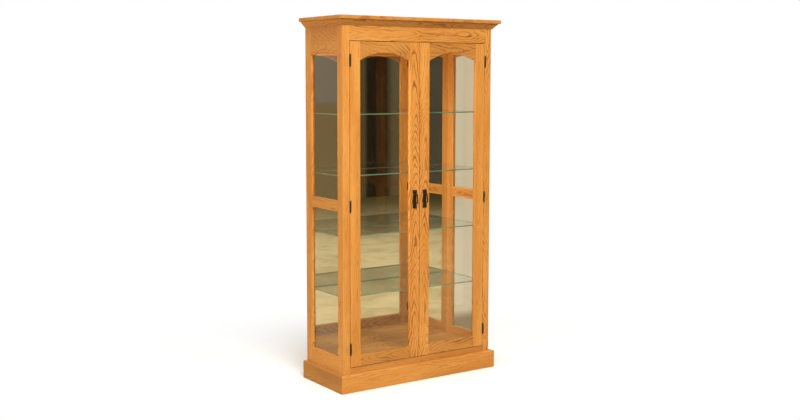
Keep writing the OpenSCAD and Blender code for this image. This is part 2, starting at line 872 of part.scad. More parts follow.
module bail(side) {
  middle = [0, pivot_up - bail_drop - bail_dip];
  color(IRON) at_face() on_side(side) translate([handle_x, 0, handle_z]) {
    bar_knot(middle);
    for (end = [-1, 1]) {
      hub = [end * bail_half, pivot_up];
      corner = [end * bail_foot_half, pivot_up - bail_drop];
      bail_bar(hub, corner);
      bail_bar(corner, middle);
      bar_knot(hub);
      bar_knot(corner);
      translate([end > 0 ? bail_half - 7 : -bail_half, pivot_y, pivot_up]) rotate([0, 90, 0])
        cylinder(d = dog_d, h = 7, $fn = 24);
    }
  }
}

// ---------- nodes ----------

plinth_front();
plinth_side(LEFT);  // plinth_left
plinth_side(RIGHT);  // plinth_right
back_base_rail();
face_stile(LEFT);  // face_stile_left
face_stile(RIGHT);  // face_stile_right
face_rail(open_z1, top_z);  // face_top_rail
face_rail(rail_z, open_z0);  // face_bottom_rail
side_front_stile(LEFT);  // left_front_stile
side_rear_stile(LEFT);  // left_rear_stile
side_rail(LEFT, side_spring_z, top_z);  // left_top_rail
side_rail(LEFT, side_upper_z - side_middle_h, side_upper_z);  // left_middle_rail
side_rail(LEFT, rail_z, side_lower_z);  // left_bottom_rail
side_front_stile(RIGHT);  // right_front_stile
side_rear_stile(RIGHT);  // right_rear_stile
side_rail(RIGHT, side_spring_z, top_z);  // right_top_rail
side_rail(RIGHT, side_upper_z - side_middle_h, side_upper_z);  // right_middle_rail
side_rail(RIGHT, rail_z, side_lower_z);  // right_bottom_rail
side_glass(LEFT);  // left_side_glass
side_glass(RIGHT);  // right_side_glass
side_glass_beads();
floor_panel();
ceiling_panel();
top_board();
crown_front();
crown_side(LEFT);  // crown_left
crown_side(RIGHT);  // crown_right
mirror_pane();  // mirror
back_panel();
glass_shelf(1);  // glass_shelf_1
glass_shelf(2);  // glass_shelf_2
glass_shelf(3);  // glass_shelf_3
glass_shelf(4);  // glass_shelf_4
shelf_pegs();
magnetic_catches();
hinge_frame_leaves();
hinge_pins();
carcass_screws();
door_hinge_stile(LEFT);  // left_door_hinge_stile
door_meeting_stile(LEFT);  // left_door_meeting_stile
door_top_rail(LEFT);  // left_door_top_rail
door_bottom_rail(LEFT);  // left_door_bottom_rail
door_glass(LEFT);  // left_door_glass
door_beads(LEFT);  // left_door_beads
door_leaves(LEFT);  // left_door_leaves
door_screws(LEFT);  // left_door_screws
strike_plate(LEFT);  // left_strike_plate
handle_plate(LEFT);  // left_handle_plate
bail(LEFT);  // left_bail
door_hinge_stile(RIGHT);  // right_door_hinge_stile
door_meeting_stile(RIGHT);  // right_door_meeting_stile
door_top_rail(RIGHT);  // right_door_top_rail
door_bottom_rail(RIGHT);  // right_door_bottom_rail
door_glass(RIGHT);  // right_door_glass
door_beads(RIGHT);  // right_door_beads
door_leaves(RIGHT);  // right_door_leaves
door_screws(RIGHT);  // right_door_screws
strike_plate(RIGHT);  // right_strike_plate
handle_plate(RIGHT);  // right_handle_plate
bail(RIGHT);  // right_bail
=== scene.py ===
import json

import bpy
import numpy as np
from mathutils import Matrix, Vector


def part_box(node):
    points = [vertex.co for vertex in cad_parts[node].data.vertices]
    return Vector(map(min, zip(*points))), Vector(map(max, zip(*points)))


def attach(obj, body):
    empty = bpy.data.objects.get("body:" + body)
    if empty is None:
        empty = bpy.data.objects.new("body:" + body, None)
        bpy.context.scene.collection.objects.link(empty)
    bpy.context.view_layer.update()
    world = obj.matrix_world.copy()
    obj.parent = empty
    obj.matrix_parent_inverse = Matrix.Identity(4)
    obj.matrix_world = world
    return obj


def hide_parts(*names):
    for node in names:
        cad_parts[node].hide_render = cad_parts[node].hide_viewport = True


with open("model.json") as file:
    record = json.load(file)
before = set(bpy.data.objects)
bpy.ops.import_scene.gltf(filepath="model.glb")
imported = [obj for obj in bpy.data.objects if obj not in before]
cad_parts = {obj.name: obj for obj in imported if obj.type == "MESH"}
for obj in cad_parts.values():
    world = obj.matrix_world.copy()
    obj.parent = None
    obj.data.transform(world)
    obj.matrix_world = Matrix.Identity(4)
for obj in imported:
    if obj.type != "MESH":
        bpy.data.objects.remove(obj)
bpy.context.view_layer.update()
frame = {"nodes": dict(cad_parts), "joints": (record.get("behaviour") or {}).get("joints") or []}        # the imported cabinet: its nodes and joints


# ---------------------------------------------------------------------------------------
# The studio
# The cabinet stands on a wide pale floor. A large soft lamp lights its front and a weak warm one
# its left side, and two panels stand for the light that the mirror and the panes throw about inside.
# The mirror shows the rest of the room: a stone floor, and dim walls beyond it.
# ---------------------------------------------------------------------------------------

class Link:
    """A shader node's output, which sums can be written with: each operator adds its Math node."""

    def __init__(self, tree, socket=None):
        self.tree, self.socket = tree, socket

    def add(self, kind, settings=None, sockets=None, out=0):
        """Adds a node of a kind: its settings are made first, then its sockets are filled or linked."""
        node = self.tree.nodes.new("ShaderNode" + kind)
        for name, value in (settings or {}).items():
            setattr(node, name, value)
        for name, value in (sockets or {}).items():
            if isinstance(value, Link):
                self.tree.links.new(value.socket, node.inputs[name])
            else:
                node.inputs[name].default_value = value
        return Link(self.tree, node.outputs[out]) if node.outputs else None

    def other(self, out):
        """Another output of the node that this one comes from."""
        return Link(self.tree, self.socket.node.outputs[out])

    def maths(self, operation, *terms):
        return self.add("Math", {"operation": operation}, dict(enumerate(terms)))

    def __add__(self, term):
        return self.maths("ADD", self, term)

    def __sub__(self, term):
        return self.maths("SUBTRACT", self, term)

    def __rsub__(self, term):
        return self.maths("SUBTRACT", term, self)

    def __mul__(self, term):
        return self.maths("MULTIPLY", self, term)

    def __truediv__(self, term):
        return self.maths("DIVIDE", self, term)

    def __pow__(self, term):
        return self.maths("POWER", self, term)

    __radd__, __rmul__ = __add__, __mul__

    def rise(self, low, high):
        """0 below low, 1 above high, and a smooth S between them."""
        ends = {"Value": self, "From Min": low, "From Max": high}
        return self.add("MapRange", {"interpolation_type": "SMOOTHSTEP"}, ends)

    def mix(self, first, second):
        """The first colour where this is 0 and the second where it is 1."""
        return self.add("Mix", {"data_type": "RGBA"}, {0: self, 6: first, 7: second}, out=2)


def blank(name):
    """A new material without nodes, and a Link that adds nodes to it."""
    material = bpy.data.materials.new(name)
    material.use_nodes = True
    material.node_tree.nodes.clear()
    return material, Link(material.node_tree)


def grey(level):
    return (level, level, level, 1.0)


eye = bpy.data.objects.new("camera", bpy.data.cameras.new("camera"))
eye.data.lens = 49.0
eye.data.shift_x, eye.data.shift_y = 0.026, -0.035
eye.location = (-3.530, -5.090, 1.700)
eye.rotation_euler = np.radians((90 - 5.45, 0, -33.56))
bpy.context.scene.collection.objects.link(eye)
bpy.context.scene.camera = eye
bpy.context.scene.view_settings.view_transform = "Standard"
bpy.context.scene.cycles.transparent_max_bounces = 32

BACKGROUND = grey(1.0)
ROOM_HIGH = (0.95, 0.93, 0.88, 1.0)
ROOM_LOW = (0.60, 0.53, 0.40, 1.0)
ROOM_DIM = (0.018, 0.011, 0.006, 1.0)
ROOM_DOORS = (0.19, 0.140, 0.068, 1.0)
WALL = (0.74, 0.64, 0.46, 1.0)

world = bpy.data.worlds.new("room")
bpy.context.scene.world = world
world.use_nodes = True
world.node_tree.nodes.clear()
room = Link(world.node_tree)
toward = room.add("TexCoord", out="Generated")
high = room.add("SeparateXYZ", None, {0: toward}, out="Z").rise(-0.05, 0.75)

# The room is dim towards the front right, where it holds two doors that are a little lighter. Their
# edges are bearings, the sine of an angle to the right over its cosine to the front.
DIM_SIDE = (0.57, -0.82, 0.0)
towards_dim = room.add("VectorMath", {"operation": "DOT_PRODUCT"}, {0: toward, 1: DIM_SIDE}, out="Value")
facing = towards_dim.rise(0.55, 0.86)
place = room.add("SeparateXYZ", None, {0: toward})
bearing = place / (0 - place.other("Y"))
wide_door = 1 - bearing.rise(0.643, 0.649)
narrow_door = bearing.rise(0.672, 0.684) * (1 - bearing.rise(0.70, 0.72))
doors = wide_door * 0.5 + narrow_door * 0.5

# What is seen directly is the plain background, and what is seen through glass is the wall behind.
seen = room.add("LightPath", out="Is Camera Ray")
glazed = seen.other("Transparent Depth").rise(0.0, 1.0)
lit = facing.mix(high.mix(ROOM_LOW, ROOM_HIGH), doors.mix(ROOM_DIM, ROOM_DOORS))
shown = seen.mix(lit, glazed.mix(BACKGROUND, WALL))
room.add("OutputWorld", None, {"Surface": room.add("Background", None, {"Color": shown})})


def lamp(name, place, aim, size, watts, tint=(1.0, 1.0, 1.0), hidden=False):
    """A soft box of a width and a height at a place, turned towards the point it is aimed at."""
    soft = bpy.data.lights.new(name, "AREA")
    soft.shape = "RECTANGLE"
    soft.size, soft.size_y = size
    soft.energy, soft.color = watts, tint
    holder = bpy.data.objects.new(name, soft)
    holder.location = place
    holder.visible_camera = holder.visible_glossy = not hidden
    holder.rotation_euler = (Vector(aim) - Vector(place)).to_track_quat("-Z", "Y").to_euler()
    bpy.context.scene.collection.objects.link(holder)


lamp("front_lamp", (-1.4, -4.0, 4.2), (0, 0, 1.0), (2.4, 2.4), 219)
lamp("side_lamp", (-4.4, -1.9, 2.5), (0, 0, 0.8), (1.6, 1.6), 30, (1.0, 0.84, 0.58), hidden=True)
lamp("mirror_bounce", (0.0, 0.17, 1.28), (0, -1.0, 1.28), (0.90, 1.20), 3.2, (1.0, 0.88, 0.66), hidden=True)
lamp("pane_bounce", (-0.46, 0.0, 1.25), (1.0, 0.0, 1.25), (0.30, 1.25), 9, (1.0, 0.90, 0.72), hidden=True)

# The floor is pale paper where it is seen directly. In the mirror it is slabs of veined stone, laid at a
# slant, which far off turn to painted shade. Through the panes it takes no lamp light and glows instead: a
# painted wall behind the cabinet, and a painted warm shade in front of it.
STONE = (0.70, 0.58, 0.37, 1.0)
STONE_VEIN = (0.46, 0.37, 0.20, 1.0)
STONE_FAR_PAINTED_SHADE = (0.090, 0.070, 0.030, 1.0)
STONE_BEHIND = (0.70, 0.48, 0.22, 1.0)
BEHIND_GLASS = (0.26, 0.20, 0.12, 1.0)
SLAB = 0.46
SLANTS = ((0.64, 0.77), (0.77, -0.64))
LEFT, RIGHT, FRONT, REAR = -60, 60, -7.5, 60

paper, tree = blank("floor_paper")
at = tree.add("TexCoord", out="Object")
away = tree.add("VectorMath", {"operation": "LENGTH"}, {0: at}, out="Value")
direct = tree.add("LightPath", out="Is Camera Ray")
glazed = direct.other("Transparent Depth").rise(0.0, 1.0)
veins = tree.add("TexNoise", None, {0: at, "Scale": 2.6, "Detail": 5.0, "Distortion": 1.2}).rise(0.42, 0.66)
across = tree.add("SeparateXYZ", None, {0: at})
steps = [(across * a + across.other("Y") * b) / SLAB for a, b in SLANTS]
joints = [1 - step.maths("PINGPONG", step, 0.5).rise(0.0, 0.02) for step in steps]
joint = joints[0].maths("MAXIMUM", *joints)
slabs = (veins * 0.7 + joint * 0.5).mix(STONE, STONE_VEIN)
back = across.other("Y").rise(0.9, 1.2)
# Far off the stone turns dark, painted shade, except behind the cabinet, where it turns a warm orange.
stone = away.rise(3.8, 9.0).mix(slabs, back.mix(STONE_FAR_PAINTED_SHADE, STONE_BEHIND))
near = tree.add("BsdfDiffuse", None, {"Color": direct.mix(stone, grey(0.94))})
far = tree.add("Emission", None, {"Color": BACKGROUND})
open_floor = tree.add("MixShader", None, {0: away.rise(0.5, 1.9) * direct, 1: near, 2: far})
# Through the panes the floor glows with painted light: the wall behind the cabinet and a warm shade in front
# of it.
painted_glow_through_glass = tree.add("Emission", None, {"Color": back.mix(BEHIND_GLASS, WALL)})
floor_look = tree.add("MixShader", None, {0: glazed * direct, 1: open_floor, 2: painted_glow_through_glass})
tree.add("OutputMaterial", None, {"Surface": floor_look})
floor = bpy.data.objects.new("floor", bpy.data.meshes.new("floor"))
outline = [(LEFT, FRONT, 0), (RIGHT, FRONT, 0), (RIGHT, REAR, 0), (LEFT, REAR, 0)]
floor.data.from_pydata(outline, [], [(0, 1, 2, 3)])
floor.data.materials.append(paper)
bpy.context.scene.collection.objects.link(floor)


# ---------------------------------------------------------------------------------------
# Base: three plinth boards, mitred at the front corners, and a rail across the back
# Flat-sawn oak boards, planed, rounded along the top edge and finished with a satin varnish.
# They are glued and screwed from inside to the sides and the face frame.
# ---------------------------------------------------------------------------------------

X, Y, Z = 0, 1, 2
OAK_LIGHT = (0.74, 0.335, 0.076, 1.0)
OAK_WARM = (0.62, 0.248, 0.044, 1.0)
OAK_DARK = (0.250, 0.066, 0.009, 1.0)


def shaded(tint, shade):
    return tuple(c * shade for c in tint[:3]) + (1.0,)


def oak(name, grain, across, low, high, seed, ring=0.012, arch=0.07, bold=1.0, shade=1.0, along=None):
    """Flat-sawn oak under satin varnish, on a board whose grain runs along one axis.

    The rings of the log are circles about a line behind the board, which leans so that a new ring
    comes up with each arch along it: ring number = distance from the line / ring width + length / arch
    + slow noise. Each ring opens with a dark porous band that fades away across it, and no two rings are
    equally dark. A piece put together from strips names the attribute that holds its own length, width
    and depth in `along`."""
    draw = np.random.default_rng(seed)
    material, tree = blank(name)
    middle = (np.array(low) + np.array(high)) / 2
    width = high[across] - low[across]
    if along:
        at = tree.add("Attribute", {"attribute_name": along}, out="Vector")
    else:
        at = tree.add("TexCoord", out="Object")
    place = tree.add("SeparateXYZ", None, {0: at})
    l, w, d = (place.other(i) - float(middle[i]) for i in (grain, across, 3 - grain - across))
    shift = float(draw.uniform(5, 50))

    def figure(per_l, per_w, per_d, detail=1.0):
        """Noise that changes so many times a metre along, across and into the board."""
        spot = tree.add("CombineXYZ", None, {0: l * per_l + shift, 1: w * per_w + shift, 2: d * per_d})
        return tree.add("TexNoise", None, {0: spot, "Scale": 1.0, "Detail": detail})

    behind = d + float(draw.uniform(0.012, 0.022))
    beside = w - width * float(draw.uniform(-0.30, 0.30)) + (figure(1.6, 3, 3, 2.0) - 0.5) * 0.07
    lean = l / (arch * float(draw.choice((-1.0, 1.0))))
    slow = figure(3.0, 3, 3) * 9.0 + figure(11, 40, 40, 2.0) * 1.6
    number = (beside * beside + behind * behind) ** 0.5 / ring + lean + slow
    turn = number.maths("FRACT", number)
    year = {"W": number.maths("FLOOR", number)}
    growth = tree.add("TexWhiteNoise", {"noise_dimensions": "1D"}, year, out="Value")
    porous = turn.rise(0.0, 0.10) * (1 - turn.rise(0.10, 0.60)) * (0.40 + growth * 0.60)
    pores = figure(30, 460, 460).rise(0.50, 0.66)
    flecks = figure(13, 190, 190).rise(0.54, 0.72)
    patchy = figure(4.5, 20, 20).rise(0.34, 0.62)
    tone = figure(1.6, 12, 12, 2.0).rise(0.25, 0.75)
    stain = porous * (0.22 + patchy * 0.60 + pores * 0.24) * bold + pores * 0.08 + flecks * 0.13
    # shade darkens the three colours alike: partly the board's own tone, and partly painted shade on boards
    # that the lamps light less.
    light, warm, dark = (shaded(tint, shade) for tint in (OAK_LIGHT, OAK_WARM, OAK_DARK))
    dents = tree.add("Bump", None, {"Strength": 0.35, "Distance": 0.0005, "Height": 1 - stain})
    varnish = {
        "Base Color": stain.mix(tone.mix(light, warm), dark),
        "Roughness": 0.36 + stain * 0.22,
        "Specular IOR Level": 0.36,
        "Coat Weight": 0.08,
        "Coat Roughness": 0.18,
        "Normal": dents,
    }
    tree.add("OutputMaterial", None, {"Surface": tree.add("BsdfPrincipled", None, varnish)})
    return material


def clad(node, material):
    """Gives a CAD node's whole surface one material."""
    mesh = frame["nodes"][node].data
    if not mesh.materials:
        mesh.materials.append(material)
    for i in range(len(mesh.materials)):
        mesh.materials[i] = material


def board(node, grain, across, seed, **finish):
    """Finishes one CAD board in oak of its own figure."""
    clad(node, oak(node + "_oak", grain, across, *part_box(node), seed, **finish))


PLAIN = {"ring": 0.010, "arch": 0.45, "bold": 0.40}      # straight grain with long, faint rings

board("plinth_front", X, Z, 11, ring=0.016, arch=0.40, bold=0.45)
# The plinth's sides are darkened: painted shade, as the lamps light them less than the front.
board("plinth_left", Y, Z, 12, ring=0.014, arch=0.30, bold=0.55, shade=0.72)
board("plinth_right", Y, Z, 13, ring=0.014, arch=0.30, bold=0.55, shade=0.72)
board("back_base_rail", X, Z, 14, shade=0.85)


# ---------------------------------------------------------------------------------------
# Side frames: two stiles and three rails a side
# Oak boards glued up as a flat frame. The top rail is sawn to an arch, the openings have
# rounded inner edges, and the stiles are drilled inside for the shelf pegs.
# ---------------------------------------------------------------------------------------

for offset, side in enumerate(("left", "right")):
    board(side + "_front_stile", Z, Y, 21 + offset, **PLAIN)
    board(side + "_rear_stile", Z, Y, 31 + offset, ring=0.011, arch=0.16, bold=0.7)
    board(side + "_top_rail", Y, Z, 41 + offset, ring=0.022, arch=0.080, bold=0.45, shade=0.88)
    board(side + "_middle_rail", Y, Z, 51 + offset, ring=0.012, arch=0.10, shade=0.90)
    board(side + "_bottom_rail", Y, Z, 61 + offset, **PLAIN)


# ---------------------------------------------------------------------------------------
# Side panes
# Sheets of clear float glass, two a side, laid in the rebates of the side frames.
# ---------------------------------------------------------------------------------------

def float_glass(name, tint, haze, gloss=1.7):
    """Clear glass: the view through it is faintly tinted, and its outer face mirrors its share of the room.

    The share is Fresnel's for one face times `gloss`, which counts the face behind too. Dust and wipe
    marks are a slow noise that adds a little haze."""
    material, tree = blank(name)
    at = tree.add("TexCoord", out="Object")
    wipes = tree.add("TexNoise", None, {0: at, "Scale": 5.0, "Detail": 3.0}).rise(0.35, 0.8)
    outside = 1 - tree.add("NewGeometry", out="Backfacing")
    share = (tree.add("Fresnel", None, {"IOR": 1.5}) * gloss + wipes * haze) * outside
    clear = tree.add("BsdfTransparent", None, {"Color": tint})
    shine = tree.add("BsdfGlossy", None, {"Color": grey(0.96), "Roughness": 0.02 + wipes * 0.05})
    tree.add("OutputMaterial", None, {"Surface": tree.add("MixShader", None, {0: share, 1: clear, 2: shine})})
    return material


PANE_TINT = (0.968, 0.966, 0.945, 1.0)
side_pane = float_glass("side_pane_glass", PANE_TINT, 0.010, gloss=2.1)
clad("left_side_glass", side_pane)
clad("right_side_glass", side_pane)


# ---------------------------------------------------------------------------------------
# Side beads
# Thin oak strips with a rounded nose, four to each pane. They are pinned into the rebates
# behind the glass and hold it against the frame.
# ---------------------------------------------------------------------------------------

def skin(rings, finish=0, grain=None):
    """A closed solid over a stack of rings, shaped (rings, points, 3).

    Neighbouring rings are joined by quads, and each end is closed by a fan round its own middle point.
    The sum of corner 1 . (corner 2 x corner 3) over the triangles is six times the volume, so where it
    comes out negative the faces are turned round. finish is the material's number, or one for the
    quads and one for the ends. grain is a value of three numbers at each point."""
    n, m = rings.shape[:2]
    points = np.concatenate([rings.reshape(-1, 3), rings[[0, -1]].mean(1)])
    at = np.arange(n * m).reshape(n, m)
    after = np.roll(at, -1, 1)
    quads = np.stack([at[:-1], after[:-1], after[1:], at[1:]], -1).reshape(-1, 4)
    first = np.stack([after[0], at[0], np.full(m, n * m)], -1)
    last = np.stack([at[-1], after[-1], np.full(m, n * m + 1)], -1)
    fans = np.concatenate([first, last])
    a, b, c = points[np.concatenate([fans, quads[:, :3], quads[:, [0, 2, 3]]])].transpose(1, 0, 2)
    if np.sum(a * np.cross(b, c)) < 0:
        quads, fans = quads[:, ::-1], fans[:, ::-1]
    wall, ends = finish if isinstance(finish, tuple) else (finish, finish)
    values = None
    if grain is not None:
        values = np.concatenate([grain.reshape(-1, 3), grain[[0, -1]].mean(1)])
    return {"points": points, "quads": quads, "fans": fans, "wall": wall, "ends": ends, "grain": values}


CREASE = 38


def piece(name, body, slot, solids, materials, *stands_for):
    """Joins solids into one piece that rides on a body.

    Their walls are smooth, but creased where two faces meet at more than CREASE degrees, and their ends
    are flat."""
    starts = np.cumsum([0] + [len(s["points"]) for s in solids])
    faces, finish, smooth = [], [], []
    for solid, start in zip(solids, starts):
        faces += (solid["quads"] + start).tolist() + (solid["fans"] + start).tolist()
        finish += [solid["wall"]] * len(solid["quads"]) + [solid["ends"]] * len(solid["fans"])
        smooth += [True] * len(solid["quads"]) + [False] * len(solid["fans"])
    mesh = bpy.data.meshes.new(name)
    mesh.from_pydata(np.concatenate([s["points"] for s in solids]).tolist(), [], faces)
    for material in materials:
        mesh.materials.append(material)
    mesh.polygons.foreach_set("material_index", finish)
    if solids[0]["grain"] is not None:
        values = np.concatenate([s["grain"] for s in solids])
        mesh.attributes.new("grain", "FLOAT_VECTOR", "POINT").data.foreach_set("vector", values.ravel())
    mesh.set_sharp_from_angle(angle=np.radians(CREASE))
    mesh.polygons.foreach_set("use_smooth", smooth)
    made = bpy.data.objects.new(name, mesh)
    bpy.context.scene.collection.objects.link(made)
    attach(made, body)
    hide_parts(*stands_for)


BEAD_W = 0.0078
LAP = 0.0078                # how far a rebate reaches past the opening's edge


def bead(start, end, inward, deep, thick):
    """A strip with a rounded nose from start to end: inward points to the pane's middle, deep away from it.

    Its section is a rectangle whose inner corner is a quarter of an ellipse, 0.75 of the width by 0.7
    of the thickness. The grain attribute holds the distances along, across and through the strip."""
    turn = np.linspace(0, np.pi / 2, 6)
    nose = np.stack([BEAD_W * (0.25 + 0.75 * np.cos(turn)), thick * (0.3 + 0.7 * np.sin(turn))], -1)
    section = np.concatenate([[[0, 0], [BEAD_W, 0]], nose, [[0, thick]]])
    start, end, inward, deep = (np.array(v, float) for v in (start, end, inward, deep))
    along = np.linspace(0, 1, 3)[:, None, None]
    rings = start + along * (end - start) + section[:, :1] * inward + section[:, 1:] * deep
    reach = np.linalg.norm(end - start)
    lengths = np.broadcast_to(along * reach, rings.shape[:2] + (1,))
    grain = np.concatenate([lengths, np.broadcast_to(section, rings.shape[:2] + (2,))], -1)
    return skin(rings, grain=grain + np.abs(start).sum())


def bead_frame(low, high, level, deep, thick):
    """Four strips round a pane: the uprights run its whole height, the level strips lie between them.

    low and high are the corners of the strips' outer rectangle, which lies along the level axis and Z."""
    low, high = np.array(low, float), np.array(high, float)
    wide, up = np.eye(3)[[level, Z]]
    width, height = wide * (high - low)[level], up * (high - low)[Z]
    step = wide * BEAD_W
    return [
        bead(low, low + height, wide, deep, thick),
        bead(low + width, high, -wide, deep, thick),
        bead(low + step, low + width - step, up, deep, thick),
        bead(low + step + height, high - step, -up, deep, thick),
    ]


SIDE_BEAD_T = 0.0048
SIDE_ARCH = 0.014
strips = []
for side, out, inner_corner in (("left", -1, 1), ("right", 1, 0)):
    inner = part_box(side + "_middle_rail")[inner_corner].x
    y0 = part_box(side + "_front_stile")[1].y - LAP
    y1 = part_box(side + "_rear_stile")[0].y + LAP
    seat = inner + out * SIDE_BEAD_T
    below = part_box(side + "_bottom_rail")[1].z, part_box(side + "_middle_rail")[0].z
    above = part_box(side + "_middle_rail")[1].z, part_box(side + "_top_rail")[0].z + SIDE_ARCH
    for z0, z1 in (below, above):
        strips += bead_frame((seat, y0, z0 - LAP), (seat, y1, z1 + LAP), Y, (-out, 0, 0), SIDE_BEAD_T)
strip = (0, 0, 0), (1.5, 0.008, 0.005)
bead_oak = oak("bead_oak", X, Y, *strip, 101, ring=0.005, arch=0.3, bold=0.7, along="grain")
piece("side_pane_beads", "cabinet", "oak_side", strips, [bead_oak], "side_glass_beads")


# ---------------------------------------------------------------------------------------
# Floor and ceiling panels
# Oak-veneered panels between the sides. Their front edges stand a little into the door
# opening, and the doors close against them.
# ---------------------------------------------------------------------------------------

# The floor panel's colours are darkened: painted shade.
board("floor_panel", X, Y, 81, ring=0.022, arch=0.12, bold=0.8, shade=0.78)
board("ceiling_panel", X, Y, 82, ring=0.022, arch=0.12, bold=0.8)


# ---------------------------------------------------------------------------------------
# Mirror and back panel
# A silvered sheet across the whole back, and a thin panel behind it that is let into the
# rear stiles and screwed to them.
# ---------------------------------------------------------------------------------------

silver, tree = blank("silvered_glass")
at = tree.add("TexCoord", out="Object")
clouds = tree.add("TexNoise", None, {0: at, "Scale": 6.0, "Detail": 3.0}).rise(0.4, 0.75)
shine = {
    "Base Color": clouds.mix((0.82, 0.80, 0.68, 1.0), (0.79, 0.77, 0.65, 1.0)),
    "Metallic": 1.0,
    "Roughness": 0.006 + clouds * 0.006,
}
tree.add("OutputMaterial", None, {"Surface": tree.add("BsdfPrincipled", None, shine)})
clad("mirror", silver)

board("back_panel", Z, X, 111, ring=0.030, arch=0.14, bold=0.8, shade=0.66)


# ---------------------------------------------------------------------------------------
# Face frame: two stiles, a top rail and a bottom rail round the door opening
# Oak boards glued edge to end, with every front edge rounded over.
# ---------------------------------------------------------------------------------------

board("face_stile_left", Z, X, 71, **PLAIN)
board("face_stile_right", Z, X, 72, ring=0.014, arch=0.07)
board("face_top_rail", X, Z, 73, ring=0.017, arch=0.22, bold=1.1, shade=0.92)
board("face_bottom_rail", X, Z, 74, shade=0.86, **PLAIN)


# ---------------------------------------------------------------------------------------
# Crown: a top board over a bevelled moulding
# The board's edges are rounded. The moulding is planed to a slope and mitred at the front
# corners, and both are glued and pinned to the frame.
# ---------------------------------------------------------------------------------------

board("top_board", X, Y, 91, ring=0.014, arch=0.16, bold=0.8, shade=0.86)
# The moulding's front is darkened: painted shade on its downward slope.
board("crown_front", X, Z, 92, ring=0.012, arch=0.18, shade=0.70)
board("crown_left", Y, Z, 93, ring=0.012, arch=0.18, bold=0.6)
board("crown_right", Y, Z, 94, ring=0.012, arch=0.18, bold=0.6)


# ---------------------------------------------------------------------------------------
# Shelf pegs
# Four nickel-plated steel pegs a shelf. A turned stub goes into its hole up to a collar, and
# a flat tongue with round corners carries the glass.
# ---------------------------------------------------------------------------------------

def solids_of(node):
    """The points of each separate solid in a CAD node, from its loose triangles.

    Corners at one place count as one point. Every point starts with its own number, and the lowest
    number on each triangle passes to all its corners until nothing changes."""
    mesh = frame["nodes"][node].data
    points = np.empty(len(mesh.vertices) * 3, np.float32)
    mesh.vertices.foreach_get("co", points)
    points = points.reshape(-1, 3).astype(float)
    corners = np.empty(len(mesh.loops), np.int32)
    mesh.loops.foreach_get("vertex_index", corners)
    same = np.unique(points.round(6), axis=0, return_inverse=True)[1].ravel()
    faces = same[corners].reshape(-1, 3)
    label, before = np.arange(same.max() + 1), None
    while before is None or (label != before).any():
        before = label.copy()
        np.minimum.at(label, faces, label[faces].min(1, keepdims=True))
        label = label[label]
    return [points[label[same] == number] for number in np.unique(label)]


def turned(profile, start, along, around=28):
    """A lathe-turned solid: each profile row is a distance along the axis and the radius there.

    A point is start + distance x axis + radius x (cos a, sin a) in the plane across the axis."""
    profile, along = np.array(profile, float), np.array(along, float)
    first = np.cross(along, np.eye(3)[np.argmin(np.abs(along))])
    second = np.cross(along, first)
    a = np.linspace(0, 2 * np.pi, around, endpoint=False)[:, None]
    circle = np.cos(a) * first + np.sin(a) * second
    return skin(np.array(start) + profile[:, None, :1] * along + profile[:, None, 1:] * circle)


def slab(low, high, flat, corner, edge, finish=0):
    """A plate between two corners of its box, thin along the flat axis, with round corners and eased edges.

    In plan it is a rectangle with quarter circles at its corners. Near either face the outline draws in
    by edge x (1 - sin a) while the level moves by edge x (1 - cos a), a quarter round."""
    low, high = np.array(low, float), np.array(high, float)
    half, middle = (high - low) / 2, (high + low) / 2
    u, v = [axis for axis in (X, Y, Z) if axis != flat]
    a = (np.arange(4)[:, None] * np.pi / 2 + np.linspace(0, np.pi / 2, 7)).ravel()
    side = np.repeat([[1, 1], [-1, 1], [-1, -1], [1, -1]], 7, axis=0)
    ease = np.linspace(0, np.pi / 2, 5)
    inset = edge * (1 - np.sin(ease))
    level = edge * (1 - np.cos(ease)) - half[flat]
    inset, level = np.concatenate([inset, inset[::-1]]), np.concatenate([level, -level[::-1]])
    rings = np.zeros((len(level), len(a), 3)) + middle
    rings[..., flat] += level[:, None]
    rings[..., u] += side[:, 0] * (half[u] - corner) + np.cos(a) * (corner - inset[:, None])
    rings[..., v] += side[:, 1] * (half[v] - corner) + np.sin(a) * (corner - inset[:, None])
    return skin(rings, finish)


def plated_steel(name, tint, rough):
    """Nickel-plated steel: fine scuffs and a few dull spots from handling."""
    material, tree = blank(name)
    at = tree.add("TexCoord", out="Object")
    scuffs = tree.add("TexNoise", None, {0: at, "Scale": 900.0, "Detail": 3.0}).rise(0.35, 0.75)
    spots = tree.add("TexNoise", None, {0: at, "Scale": 140.0, "Detail": 2.0}).rise(0.55, 0.75)
    metal = {
        "Base Color": (spots * 0.7 + scuffs * 0.15).mix(tint, shaded(tint, 0.72)),
        "Metallic": 1.0,
        "Roughness": rough + scuffs * 0.10 + spots * 0.12,
        "Normal": tree.add("Bump", None, {"Strength": 0.2, "Distance": 0.0001, "Height": scuffs}),
    }
    tree.add("OutputMaterial", None, {"Surface": tree.add("BsdfPrincipled", None, metal)})
    return material


